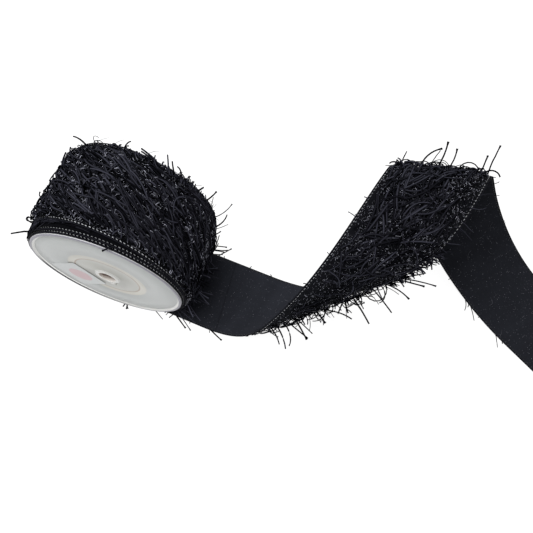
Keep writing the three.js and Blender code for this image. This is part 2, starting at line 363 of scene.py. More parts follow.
# %% [markdown]
# The core is a wound board tube, and only its inside shows, through the hub hole. The solid's own tube is the
# right shape, so it stays and gets a board finish: brown, fibrous, with the slanting seam of the wound strip.
# The thin flanges let some light into the tube, and a weak emission stands in for it.

# %% Board tube
SEAM_PITCH = 22 * MM
board = Finish(
    "brown_board", Roughness=0.9, Specular_IOR_Level=0.15,
    Emission_Color=(0.34, 0.13, 0.075, 1), Emission_Strength=0.12,
)
whole = board.place()
x, y, z = board.split(whole)
turned = (z - AXIS_HEIGHT).angle_from(x) / math.tau
seam = (y / SEAM_PITCH + turned).fraction().band(0.5, 0.0, 0.03)
fibres = board.noise(whole, 400.0, 5.0)
tone = board.mix(fibres, (0.36, 0.2, 0.11, 1), (0.62, 0.4, 0.24, 1))
board.feed(Base_Color=board.mix(seam * 0.7, tone, (0.16, 0.085, 0.045, 1)))
board.bump(fibres - seam, 0.3 * MM, 0.7)
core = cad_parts["core"]
core.data.materials.clear()
core.data.materials.append(board.material)
print("board tube keeps its solid's", len(core.data.polygons), "faces")

# %% [markdown]
# The label is a paper sticker with rounded corners and one plain pale pink dot. A grid is bevelled at its
# corners, extruded to a thin plate and laid on the web. A Mapping node gives the shader the label's own
# turned coordinates, so the dot is a distance from a point on it.

# %% Label
LABEL_WIDTH, LABEL_HEIGHT, LABEL_THICK, LABEL_CORNER = 30 * MM, 32 * MM, 0.25 * MM, 2 * MM
LABEL_MIDDLE = Vector((-28 * MM, FRONT_INNER_FACE - 2.01 * MM, AXIS_HEIGHT - 13.5 * MM))
LABEL_TURN = math.radians(-33)
DOT_RADIUS, DOT_ASIDE = 9 * MM, 1 * MM
paper = Finish("label_paper", Roughness=0.55, Specular_IOR_Level=0.3)
whole = paper.place()
on_label = paper.node("ShaderNodeMapping", {"vector_type": "TEXTURE"}, {
    "Vector": whole, "Location": LABEL_MIDDLE, "Rotation": (0, LABEL_TURN, 0),
})
side, _, height = paper.split(on_label)
off_middle = ((side - DOT_ASIDE) ** 2 + (height + DOT_ASIDE) ** 2) ** 0.5
dot = 1 - off_middle.rises(DOT_RADIUS, DOT_RADIUS + 0.5 * MM)
grain = paper.noise(whole, 900.0, 3.0)
tone = paper.mix(grain, (0.57, 0.59, 0.59, 1), (0.63, 0.645, 0.645, 1))
paper.feed(Base_Color=paper.mix(dot * 0.85, tone, (0.6, 0.43, 0.45, 1)))
paper.bump(grain, 0.02 * MM, 0.5)

shape = bmesh.new()
bmesh.ops.create_grid(shape, x_segments=1, y_segments=1, size=0.5)
bmesh.ops.scale(shape, vec=(LABEL_WIDTH, LABEL_HEIGHT, 1), verts=shape.verts[:])
round_off(shape, shape.verts[:], "VERTICES", LABEL_CORNER, 6)
lifted = bmesh.ops.extrude_face_region(shape, geom=shape.faces[:])["geom"]
lifted = [part for part in lifted if isinstance(part, bmesh.types.BMVert)]
bmesh.ops.translate(shape, vec=(0, 0, LABEL_THICK), verts=lifted)
upright = Matrix.Rotation(LABEL_TURN, 4, "Y") @ Matrix.Rotation(math.pi / 2, 4, "X")
bmesh.ops.transform(shape, verts=shape.verts[:], matrix=Matrix.Translation(LABEL_MIDDLE) @ upright)
bmesh.ops.recalc_face_normals(shape, faces=shape.faces[:])
label_mesh = mesh_of("label", shape)
add_piece("label_sticker", label_mesh, [paper], ["label"])
label_mesh.shade_flat()

# %% [markdown]
# The tail is the loose end of the flat strip, bent without stretch. Each small bend turns everything past its
# fold line about that line, and the lines lie aslant, which makes a ribbon curl over and come down beside
# itself. The bends give a row of stations, each with the matrix that carries the flat strip to its place.

# %% Fold the tail
TAIL_START = (20 * MM, 0.25 * MM, 1 * MM)
TAIL_HEADING = math.radians(-5.9)
TAIL_ROOT = -8 * MM
# Columns: length in millimetres, then bend, first slant and last slant in degrees
TAIL_STRETCHES = [
    (67, 0, -5.9, 29.9),
    (104.5, 98.8, 29.9, 62.8),
    (108.8, 94.7, 62.8, 21.2),
    (45, 108.2, 21.2, 48.8),
    (144.5, 65.9, 48.8, 5.7),
    (78, 0, 5.7, 0),
]
FOLD_STEP = 1.25
FOLD_TRIES = 30
FLOOR_CLEAR = 0.25 * MM


def fold_about(distance, slant, angle):
    line = Vector((math.sin(slant), math.cos(slant), 0))
    there = Matrix.Translation((distance, 0, 0))
    return there @ Matrix.Rotation(angle, 4, line) @ there.inverted()


def fold_stations():
    matrix = Matrix.Translation(TAIL_START) @ Matrix.Rotation(TAIL_HEADING, 4, "Z")
    first_slant = math.radians(TAIL_STRETCHES[0][2])
    rows = [(TAIL_ROOT, first_slant, matrix), (0.0, first_slant, matrix)]
    start = 0.0
    for length, bend, first, last in TAIL_STRETCHES:
        steps = math.ceil(length / FOLD_STEP)
        for i in range(steps):
            middle, end = (i + 0.5) / steps, (i + 1) / steps
            slant = math.radians(first + (last - first) * middle)
            matrix = matrix @ fold_about((start + length * middle) * MM, slant, -math.radians(bend) / steps)
            rows.append(((start + length * end) * MM, math.radians(first + (last - first) * end), matrix))
        start += length
    return rows


rows = fold_stations()
FOLD_PLACE = np.array([row[0] for row in rows])
FOLD_SLANT = np.array([math.tan(row[1]) for row in rows])
FOLD_MATRIX = np.array([row[2] for row in rows])
TAIL_LENGTH = FOLD_PLACE[-1] - FOLD_PLACE[0]


def as_arrays(*values):
    return np.broadcast_arrays(*(np.asarray(value, float) for value in values))


def over(lowest, points):
    """Lifts the points that lie below lowest."""
    points[..., 2] = np.maximum(points[..., 2], lowest)
    return points


def folded(stations, along, across, height):
    """Flat places, each carried by its station's matrix."""
    flat = np.stack([along, across, -height, np.ones_like(along)], axis=-1)
    return np.einsum("...ij,...j->...i", FOLD_MATRIX[stations], flat)[..., :3]


def on_tail(along, across, height):
    """Points over the tail's shaggy face, or behind it on its smooth back where height is negative."""
    along, across, height = as_arrays(along, across, height)
    reach = np.clip(across, -HALF_WIDTH, HALF_WIDTH)
    fold = along.copy()
    for _ in range(FOLD_TRIES):
        fold = along - reach * np.interp(fold, FOLD_PLACE, FOLD_SLANT)
    nearest = np.rint(np.interp(fold, FOLD_PLACE, np.arange(len(FOLD_PLACE)))).astype(int)
    return over(FLOOR_CLEAR, folded(nearest, along, across, height))


top = on_tail(FOLD_PLACE, 0, 0)[:, 2].max()
print("tail", round(TAIL_LENGTH, 4), "long,", len(rows), "stations, curl", round(top, 4), "high")

# %% [markdown]
# The cloth is a black plain weave. Its pattern follows the strip, so it reads the strip's own UV map, the
# flat place in metres. Warp and weft are two crossed waves, and the pale specks are a few cells of a Voronoi
# pattern.
# Streaks run along the strip and ripples across it, and the ripples also carry painted light and shade. One
# crease lies near the roll, darkened along it as painted shade. The tone along the strip is painted light and
# shade: paler near the roll, darkest over the curl and a little paler past it. The same weave, darker still,
# is the ground under the pile, and its darkness partly stands in for the shade between the cords.

# %% Woven cloth
WEAVE_PITCH = 0.7 * MM
CREASE_PLACE, CREASE_SLANT = 56 * MM, 0.17
RIPPLE_SLANT, RIPPLES_ALONG, RIPPLES_ACROSS = 0.18, 75.0, 8.0
STREAKS = (60.0, 1500.0, 1.0)


def woven(name, level, specks):
    finish = Finish(name, Roughness=0.85, Specular_IOR_Level=0.01, Sheen_Weight=0.006, Sheen_Roughness=0.5)
    flat = finish.node("ShaderNodeUVMap", {"uv_map": "strip"})
    along, across, _ = finish.split(flat)
    pitch = math.tau / WEAVE_PITCH
    weave = (along * pitch).sine() * (across * pitch).sine()
    cells = {"Vector": flat, "Scale": 1000.0}
    from_cell = finish.node("ShaderNodeTexVoronoi", None, cells, output="Distance")
    near = 1 - from_cell.rises(0.1, 0.32)
    chance, strength, _ = finish.split(from_cell.also("Color"))
    speck = near * (chance > 1 - specks) * strength ** 3.0
    cloudy = finish.noise(flat, 55.0, 3.0)
    stretched = finish.node("ShaderNodeVectorMath", {"operation": "MULTIPLY"}, {0: flat, 1: STREAKS})
    streak = finish.noise(stretched, 1.0)
    # The crease is darkened along it as painted shade, and the ripples carry painted light and shade as well
    # as bump
    shaded_crease = (along + across * CREASE_SLANT - CREASE_PLACE).band(0.0, 0.2 * MM, 0.9 * MM)
    slanting = (along - across * RIPPLE_SLANT) * RIPPLES_ALONG
    aslant = finish.node("ShaderNodeCombineXYZ", None, {0: slanting, 1: across * RIPPLES_ACROSS})
    shaded_ripple = finish.noise(aslant, 1.0, 1.0)
    # Painted light and shade along the strip: paler near the roll, darkest over the curl, a little paler past
    # it
    painted_light_and_shade = 1.12 - along.rises(0.1, 0.33) * 0.52 + along.rises(0.37, 0.46) * 0.18
    shade = (weave * 0.12 + cloudy * 0.3 + streak * 0.3 + 0.7) * level
    shade = shade * painted_light_and_shade * (1 - shaded_crease * 0.2) * (shaded_ripple * 0.4 + 0.8)
    tone = finish.colour(shade * 0.95, shade * 1.02, shade * 1.3)
    finish.feed(Base_Color=finish.mix(speck, tone, grey(0.25, 1.15)))
    finish.bump(weave + speck * 2 + shaded_ripple * 6 - shaded_crease * 2, 0.12 * MM, 0.8)
    return finish


weave = woven("black_weave", 0.0222, 0.4)
# The pile ground is black, and its very dark level also stands in for painted shade deep between the cords
ground = woven("pile_ground_shaded", 0.003, 0.0)
tail_ground_shaded = woven("tail_ground_shaded", 0.008, 0.3)
print("woven cloth ready")

# %% [markdown]
# The sheet starts as a flat grid: its rows are every second station's fold line and its columns run along the
# ribbon. Each vertex keeps its flat place as UV and is then carried to its folded place. Solidify gives the
# cloth its thickness and puts the darker pile ground on the shaggy side.

# %% Tail cloth
TAIL_COLUMNS = 25


def strip_mesh(name, alongs, acrosses, surface):
    """A grid with its flat place as UV. Alongs and acrosses are both (rows, columns) arrays."""
    count, columns = alongs.shape
    shape = bmesh.new()
    bmesh.ops.create_grid(shape, x_segments=count - 1, y_segments=columns - 1, size=0.5)
    shape.verts.ensure_lookup_table()
    row = [round((vert.co.x + 0.5) * (count - 1)) for vert in shape.verts]
    column = [round((vert.co.y + 0.5) * (columns - 1)) for vert in shape.verts]
    places = surface(alongs, acrosses)[row, column]
    flat = shape.loops.layers.uv.new("strip")
    for face in shape.faces:
        for loop in face.loops:
            i = loop.vert.index
            loop[flat].uv = (alongs[row[i], column[i]], acrosses[row[i], column[i]])
    for vert, place in zip(shape.verts, places):
        vert.co = place
    return mesh_of(name, shape)


def thicken(piece):
    solid = piece.modifiers.new("thickness", "SOLIDIFY")
    solid.thickness = CLOTH_THICK
    solid.offset = 0
    solid.material_offset = 1
    solid.use_even_offset = False


def across_grid(count, columns):
    return np.broadcast_to(np.linspace(-HALF_WIDTH, HALF_WIDTH, columns), (count, columns))


picked = np.arange(0, len(rows), 2)
acrosses = across_grid(len(picked), TAIL_COLUMNS)
alongs = FOLD_PLACE[picked][:, None] + acrosses * FOLD_SLANT[picked][:, None]


def tail_sheet(along, across):
    stations = np.broadcast_to(picked[:, None], along.shape)
    return over(CLOTH_THICK, folded(stations, along, across, np.zeros_like(along)))


tail_mesh = strip_mesh("tail", alongs, acrosses, tail_sheet)
tail = add_piece("tail_cloth", tail_mesh, [weave, tail_ground_shaded], ["tail"])
thicken(tail)

# %% [markdown]
# On the spool the same strip winds on in a tight spiral. Only the outer turns show, and they wander along the
# axis, so their edges step past each other at the roll's ends. The innermost sits on the flanges' rims. A
# point on the roll is given by the length wound on, back from where the tail leaves it, by its place across
# and by its height over the cloth.

# %% Wind the roll
LEAVES_AT = math.radians(281.5)
TURN_LENGTH = math.tau * ROLL_RADIUS
TURN_STEP = 1.2 * MM
TURNS = 2.85
TURN_ROWS, TURN_COLUMNS = 270, 17
TURN_LIFT = 0.9 * MM
WANDER_MIDDLE, WANDER_REACH, WANDER_CREST = 0.75 * MM, 4.6 * MM, math.radians(160)
INNER_TURN_MIDDLES = (-3.1 * MM, -5.0 * MM)
RIM_SEAT = FLANGE_RADIUS + CLOTH_THICK / 2 + 0.1 * MM


def smooth_step(value, start, end):
    share = np.clip((value - start) / (end - start), 0, 1)
    return share * share * (3 - 2 * share)


def turn_middle(turn, angle):
    """Where the strip's middle lies along the spool's axis."""
    middle = WANDER_MIDDLE + WANDER_REACH * np.cos(angle - WANDER_CREST)
    for number, place in enumerate(INNER_TURN_MIDDLES, 1):
        share = smooth_step(turn, number - 0.02, number + 0.22)
        middle = middle * (1 - share) + place * share
    return middle


def on_roll(along, across, height):
    """Points over the wound strip's shaggy face. Along is below 0, back from where the tail leaves."""
    along, across, height = as_arrays(along, across, height)
    turn = -along / TURN_LENGTH
    angle = LEAVES_AT - turn * math.tau
    radius = np.maximum(ROLL_RADIUS - CLOTH_THICK / 2 - TURN_STEP * turn, RIM_SEAT) + height
    up = AXIS_HEIGHT + radius * np.sin(angle)
    lowest = CLOTH_THICK / 2 + TURN_LIFT * np.floor(turn + 0.02) + FLOOR_CLEAR
    middle = turn_middle(turn, angle)
    return np.stack([radius * np.cos(angle), middle + across, np.maximum(up, lowest)], axis=-1)


winding = np.linspace(-TURNS * TURN_LENGTH, 0, TURN_ROWS)
acrosses = across_grid(TURN_ROWS, TURN_COLUMNS)
alongs = np.broadcast_to(winding[:, None], acrosses.shape)
turns_mesh = strip_mesh("turns", alongs, acrosses, lambda along, across: on_roll(along, across, 0))
thicken(add_piece("wound_turns", turns_mesh, [weave, ground], ["roll"]))

# %% [markdown]
# Below the outer turns the winding is one dense body. Its ends show each turn's edge as a fine ridge, so its
# outline zigzags once a turn before it is spun.

# %% Inner winding
BODY_INNER, BODY_RADIUS, RIDGE_STEP, RIDGE, BODY_GAP = 30.3, 56.9, 1.3, 0.25, 0.3


def body_outline():
    front, back = FRONT_INNER_FACE / MM + BODY_GAP, BACK_INNER_FACE / MM - BODY_GAP
    radii = np.arange(BODY_INNER, BODY_RADIUS, RIDGE_STEP)
    rising = [(r, front + RIDGE * (i % 2)) for i, r in enumerate(radii)]
    falling = [(r, back - RIDGE * (i % 2)) for i, r in enumerate(radii)]
    return rising + [(BODY_RADIUS, front)] + [(BODY_RADIUS, back)] + falling[::-1]


body_mesh = mesh_of("body", spun(body_outline(), {}, 0, 1))
add_piece("inner_winding", body_mesh, [ground], ["roll"])

# %% [markdown]
# Yarn, flecks and stitches come in thousands, and all of them are short tubes. A curve object for each would
# be slow, so one function sweeps a ring of points along many lines at once and joins them into one mesh. Each
# tube carries two attributes: ply, the place round and along it for the twist of the thread, and shade, its
# own brightness.

# %% Sweep many tubes
def unit(vectors):
    return vectors / np.maximum(np.linalg.norm(vectors, axis=-1, keepdims=True), 1e-9)


def keep(mesh, name, kind, field, values):
    """Stores one value for each vertex as an attribute."""
    mesh.attributes.new(name, kind, "POINT").data.foreach_set(field, values.astype(np.float32).ravel())


def sweep(name, lines, radii, upward, sides, shade, flatten=1.0):
    """One mesh of tubes: lines is (tubes, rings, 3), radii (tubes, rings), upward (tubes, 3)."""
    tubes, rings, _ = lines.shape
    tangent = unit(np.gradient(lines, axis=1))
    sideways = unit(np.cross(tangent, upward[:, None, :]))
    out = unit(np.cross(sideways, tangent))
    turn = (np.arange(sides) / sides + 0.25) * math.tau
    wide = sideways[:, :, None, :] * np.cos(turn)[:, None]
    high = out[:, :, None, :] * np.sin(turn)[:, None] * flatten
    points = lines[:, :, None, :] + (wide + high) * radii[:, :, None, None]
    index = np.arange(tubes * rings * sides).reshape(tubes, rings, sides)
    here, there = index[:, :-1], index[:, 1:]
    walls = np.stack([here, there, np.roll(there, -1, 2), np.roll(here, -1, 2)], axis=-1).reshape(-1, 4)
    caps = np.concatenate([index[:, 0], index[:, -1, ::-1]])
    mesh = bpy.data.meshes.new(name)
    mesh.from_pydata(points.reshape(-1, 3).tolist(), [], walls.tolist() + caps.tolist())
    steps = np.linalg.norm(np.diff(lines, axis=1), axis=2)
    far = np.concatenate([np.zeros((tubes, 1)), np.cumsum(steps, axis=1)], axis=1)
    ply = np.stack(np.broadcast_arrays(np.cos(turn), np.sin(turn), far[:, :, None]), axis=-1)
    keep(mesh, "ply", "FLOAT_VECTOR", "vector", ply)
    keep(mesh, "shade", "FLOAT", "value", np.broadcast_to(shade[:, None, None], index.shape))
    return mesh


print("tubes ready")

# %% [markdown]
# The yarn is a matte black cord. Its twist is a wave that climbs round it: with the place round the cord held
# as a cosine and a sine, the wave has no seam. The cord's flanks are painted darker than its top, as painted
# shade deep in a pile.
# The flecks are grey threads that glint, the selvedge's stitches are silver, and the lint is a dull grey.

# %% Thread finishes
def thread(name, darkest, lightest, twist, blue, rough, shine, painted_flank_shade=1.0):
    finish = Finish(name, Roughness=rough, Specular_IOR_Level=shine)
    across, up, along = finish.split(finish.attribute("ply", "Vector"))
    climb = along * (math.tau / twist)
    wave = climb.sine() * across + climb.cosine() * up
    level = finish.attribute("shade", "Fac") * (lightest - darkest) + darkest
    # Painted shade: a cord's flanks are darker than its top
    level = level * (wave * 0.12 + 0.94) * (up.rises(0.2, 1.0) * (1 - painted_flank_shade) + painted_flank_shade)
    finish.feed(Base_Color=finish.colour(level, level * 1.02, level * blue))
    finish.bump(wave, 0.1 * MM, 0.6)
    return finish


yarn = thread("black_yarn", 0.005, 0.053, 1.1 * MM, 1.36, 0.75, 0.0, painted_flank_shade=0.18)
# The flecks' pale grey is partly the thread's own silver and partly painted glint
glint = thread("grey_flecks", 0.008, 0.9, 0.8 * MM, 1.2, 0.5, 0.1)
silver = thread("silver_stitches", 0.02, 0.75, 0.5 * MM, 1.07, 0.45, 0.3)
lint = thread("grey_lint", 0.02, 0.12, 0.5 * MM, 1.2, 0.7, 0.05)
wire_edge = thread("black_selvedge", 0.006, 0.016, 0.9 * MM, 1.38, 0.7, 0.02)
print("threads ready")

# %% [markdown]
# Both long edges are wired: a thin black bead, and inside it a row of small stitches. On the shaggy face they
# are silver and show as pale dots, and on the smooth back they are nearly black. The bead is one long tube
# beside the cloth's edge, and each stitch is a short tube that lies on the cloth.

# %% Selvedges
BEAD_RADIUS, BEAD_STEP, BEAD_SIDES = 0.5 * MM, 2.5 * MM, 6
BEAD_UPWARD = (0.1, 0.3, 1.0)
STITCH_PITCH, STITCH_LENGTH, STITCH_RADIUS, STITCH_INSET = 2.65 * MM, 1.4 * MM, 0.3 * MM, 1.0 * MM
STITCH_SLANT = 0.3 * MM
STITCH_SIDES = 5


def add_selvedge(name, seed, surface, start, end, nodes, bright):
    """Bead and stitches. Bright gives the stitches' share of full silver from their places along."""
    rng = np.random.default_rng(seed)
    fine = np.linspace(start, end, round((end - start) / BEAD_STEP))
    lines = over(BEAD_RADIUS, np.stack([surface(fine, side * HALF_WIDTH, 0) for side in (-1, 1)]))
    radii = np.full(lines.shape[:2], BEAD_RADIUS)
    mesh = sweep(f"{name}_bead", lines, radii, np.array([BEAD_UPWARD] * 2), BEAD_SIDES, np.array([0.5, 0.5]))
    bead = add_piece(f"{name}_selvedge", mesh, [wire_edge], nodes)

    places = np.arange(start + STITCH_PITCH, end - STITCH_PITCH, STITCH_PITCH)
    share = np.linspace(-0.5, 0.5, 3)
    stretch = places[:, None] + share * STITCH_LENGTH
    crown = CLOTH_THICK / 2 + STITCH_RADIUS * np.array([0.0, 0.45, 0.0])
    lines, upward, shade = [], [], []
    for face, least, most in ((1, 0.45, 1.0), (-1, 0.0, 0.08)):
        for side in (-1, 1):
            inset = side * (HALF_WIDTH - STITCH_INSET)
            line = surface(stretch, inset + share * STITCH_SLANT, face * crown)
            lines.append(line)
            upward.append(unit(line[:, 1] - surface(places, inset, 0.0)))
            shade.append(rng.uniform(least, most, len(places)) * bright(places))
    lines, upward, shade = (np.concatenate(parts) for parts in (lines, upward, shade))
    radii = STITCH_RADIUS * np.array([0.65, 1.0, 0.65]) * rng.uniform(0.75, 1.1, (len(lines), 1))
    lines = over(STITCH_RADIUS, lines)
    mesh = sweep(f"{name}_stitch", lines, radii, upward, STITCH_SIDES, shade, flatten=0.8)
    return bead, add_piece(f"{name}_stitches", mesh, [silver])


def tail_silver(along):
    return np.full(along.shape, 0.5)


def roll_silver(along):
    """Full on the outer turn, duller on the turns below, on the left and where the edge turns under."""
    turn = -along / TURN_LENGTH
    outer = 1.0 - 0.6 * smooth_step(turn, 0.58, 0.72)
    below = 0.5 - 0.15 * smooth_step(turn % 1, 0.55, 0.8)
    return np.where(turn < 1, outer, below) * (0.02 + 0.98 * smooth_step(turn % 1, 0.42, 0.5))


tail_end = TAIL_LENGTH + TAIL_ROOT
tail_edges = add_selvedge("tail", 12, on_tail, TAIL_ROOT, tail_end, ["tail"], tail_silver)
add_selvedge("roll", 13, on_roll, -TURNS * TURN_LENGTH, 0.0, ["roll"], roll_silver)

# %% [markdown]
# The pile is cut cords. Most lie aslant over the face, about 26 degrees off the ribbon's length and pointing
# either way. Some cross them, and some stand off and hook over. A cord starts at its root with a heading over
# the cloth and a tilt off it, and both change evenly on its way to the tip, which makes it bow and hook.

# %% One kind of cord
CORD_RINGS, CORD_SIDES = 9, 5
CORD_LIMIT = HALF_WIDTH - 2.8 * MM
GOLDEN_STEP = 0.618034
# A free cord's painted lit top points this way
FREE_UPWARD = (0.1, 0.0, 1.0)
LEAST_HEIGHT = 0.4 * MM
TIP_TAPER, KNOB_GROWTH = 0.2, 1.6
REST = (0.4, 3)


@dataclass
class Cords:
    """How many cords, where and how they lie. Angles are in degrees and lengths in millimetres."""

    count: int
    along: tuple
    across: tuple = (-28.5, 28.5)
    length: tuple = (16, 33)
    thick: tuple = (1.3, 1.9)
    rest: tuple = REST
    lift: tuple = (3, 14)
    hook: tuple = (-26, -6)
    heading: float = 26
    spread: float = 11
    bow: float = 28
    aslant: float = 0.0
    droop: float = 0.0
    knobs: float = 0.15
    backwards: float = 0.5
    inside: bool = True
    free: bool = False
    bright: float = 1.0

    def drawn(self, rng, span):
        return rng.uniform(*span, self.count)

    def roots(self, rng):
        """Places spread evenly: in order along the span, and by golden steps across it."""
        order = np.arange(self.count)
        along = np.interp((order + self.drawn(rng, (0, 1))) / self.count, (0, 1), self.along) * MM
        stepped = (order * GOLDEN_STEP + self.drawn(rng, (0, 0.3))) % 1
        across = np.interp(stepped, (0, 1), self.across) * MM
        return along + self.aslant * across, across

    def lines(self, rng, surface):
        """Each cord's middle line, and which way is up for it. A free cord's top, painted lit, faces the sky.
        """
        share = np.linspace(0, 1, CORD_RINGS)
        along, across = self.roots(rng)
        reach = self.drawn(rng, self.length) * MM
        rest = self.drawn(rng, self.rest) * MM
        tilt = np.radians(self.drawn(rng, self.lift)[:, None] + self.drawn(rng, self.hook)[:, None] * share)
        heading = np.radians(rng.normal(self.heading, self.spread, self.count))
        heading = heading + math.pi * (self.drawn(rng, (0, 1)) < self.backwards)
        if self.inside:
            ahead = across + reach * np.sin(heading)
            heading = np.where(np.abs(ahead) > CORD_LIMIT, heading + math.pi, heading)
        bow = np.radians(rng.normal(0, self.bow, self.count))
        turning = heading[:, None] + bow[:, None] * (share - 0.5)
        step = reach[:, None] / (CORD_RINGS - 1)

        def walked(direction):
            far = np.cumsum(direction * step, axis=1)
            return far - far[:, :1]

        along = along[:, None] + walked(np.cos(turning) * np.cos(tilt))
        across = across[:, None] + walked(np.sin(turning) * np.cos(tilt))
        height = rest[:, None] * smooth_step(share, 0, 0.3) + walked(np.sin(tilt))
        height = np.where(np.abs(across) < HALF_WIDTH, np.maximum(height, LEAST_HEIGHT), height)
        lines = surface(along, across, height + CLOTH_THICK / 2)
        lines[..., 2] -= self.droop * reach[:, None] * share ** 2
        upward = unit(lines[:, 0] - surface(along[:, 0], across[:, 0], 0.0))
        if self.free:
            upward = np.broadcast_to(FREE_UPWARD, upward.shape)
        return lines, upward

    def radii(self, rng):
        share = np.linspace(0, 1, CORD_RINGS)
        radii = self.drawn(rng, self.thick)[:, None] / 2 * MM * (1 - TIP_TAPER * share)
        radii[self.drawn(rng, (0, 1)) < self.knobs, -1] *= KNOB_GROWTH
        return radii


print("cords have", CORD_RINGS, "rings of", CORD_SIDES)

# %% [markdown]
# One function turns a list of kinds into one mesh. It keeps each cord over the floor, and on the spool also
# over the flanges' rims and the tail's first stretch. Each kind has a random generator of its own, so one can
# be changed without moving the cords of the others.

# %% Cords to one piece
FLOOR_GAP, TAIL_GAP, TAIL_FROM = 0.1 * MM, 1.8 * MM, 10 * MM
SHADE_POWER, CORD_FLATTEN = 1.3, 0.8


def clear_of_rims(lines, radii):
    """Lifts tubes that hang over a flange clear of its rim."""
    from_axis = np.hypot(lines[..., 0], lines[..., 2] - AXIS_HEIGHT)
    past_face = np.abs(lines[..., 1] - SPOOL_MIDDLE) > SPOOL_HALF - radii
    least = FLANGE_RADIUS + radii + FLOOR_GAP
    grow = np.where(past_face, np.maximum(least / from_axis, 1), 1)
    lines[..., 0] *= grow
    lines[..., 2] = AXIS_HEIGHT + (lines[..., 2] - AXIS_HEIGHT) * grow
    return lines


def clear_of_floor(lines, radii, on_spool):
    lowest = radii + FLOOR_GAP
    if on_spool:
        lowest = np.where(lines[..., 0] > TAIL_FROM, radii + TAIL_GAP, lowest)
    return over(lowest, lines)


def add_cords(name, seed, surface, kinds, finish, bright, nodes=(), on_spool=False):
    lines, upward, radii, shade = [], [], [], []
    for number, kind in enumerate(kinds):
        rng = np.random.default_rng([seed, number])
        line, up = kind.lines(rng, surface)
        radii.append(kind.radii(rng))
        if on_spool:
            line = clear_of_rims(line, radii[-1])
        lines.append(clear_of_floor(line, radii[-1], on_spool))
        upward.append(up)
        shade.append(bright * kind.bright * kind.drawn(rng, (0, 1)) ** SHADE_POWER)
    lines, upward, radii, shade = (np.concatenate(parts) for parts in (lines, upward, radii, shade))
    mesh = sweep(name, lines, radii, upward, CORD_SIDES, shade, CORD_FLATTEN)
    return add_piece(name, mesh, [finish], nodes)


def turns_back(first, last):
    """A span of the roll, as shares of a turn back from where the tail leaves it, in millimetres."""
    return -last * TURN_LENGTH / MM, -first * TURN_LENGTH / MM


def wound(count, first, last, *how, **more):
    return Cords(count, turns_back(first, last), *how, **more)


ONE_WAY = dict(backwards=0, inside=False)
PLAIN = dict(knobs=0, **ONE_WAY)
WILD = dict(length=(14, 28), thick=(1.2, 1.6), rest=(1.5, 4), spread=55, bow=80)
STRAY = dict(
    length=(7, 15), thick=(1.0, 1.4), lift=(20, 50), hook=(-80, 0), bow=60, knobs=0.35, droop=0.1,
    inside=False,
)
HOOKED = dict(thick=(1.1, 1.5), lift=(50, 85), hook=(-190, -110), spread=40, bow=90, inside=False)
CORD_BRIGHT = 0.94


def strand(along, across, length, thick, lift, hook, heading=0, knob=0):
    """One cord with its place given."""
    spans = [(value, value) for value in (along, across, length, thick, 0, lift, hook)]
    return Cords(1, *spans, heading, 0, 0, knobs=knob, **ONE_WAY)


print("cords can stray, hook or run wild")

# %% [markdown]
# Several kinds together make the roll's pile. Most lie flat, and a fringe hangs over the far edge. Shorter
# cords fill the wedge under the outer selvedge, and free ones reach out over the tail. The eye knows the
# outline by its longest loose strands, so those are placed one by one.

# %% Cords on the roll
# Painted light: these cords lie in the roll's shadow, and a brightness of 2.55 stands in for the light they
# catch
OVER_TAIL = dict(inside=False, free=True, bright=2.55)
# Columns: turn back, across, length, thick, lift, hook, heading, knob
ROLL_STRANDS = [
    (0.68, 31, 8.5, 1.6, 6, 0, 118), (0.707, 31, 12, 1.4, 66, -40, 88, 1), (0.735, 31, 10.5, 0.8, 0, 0, 74),
    (0.756, 30.5, 18, 1.0, 66, -44, 80, 1), (0.79, 30.5, 14, 1.5, 52, -52, 85),
    (0.8, 30.5, 11, 0.7, 52, -10, 90), (0.885, 27, 19, 1.2, 48, 22, 40, 1),
    (0.885, 26, 21, 1.2, 72, -24, 20), (0.91, 26, 22, 1.0, 42, 20, 20, 1),
]
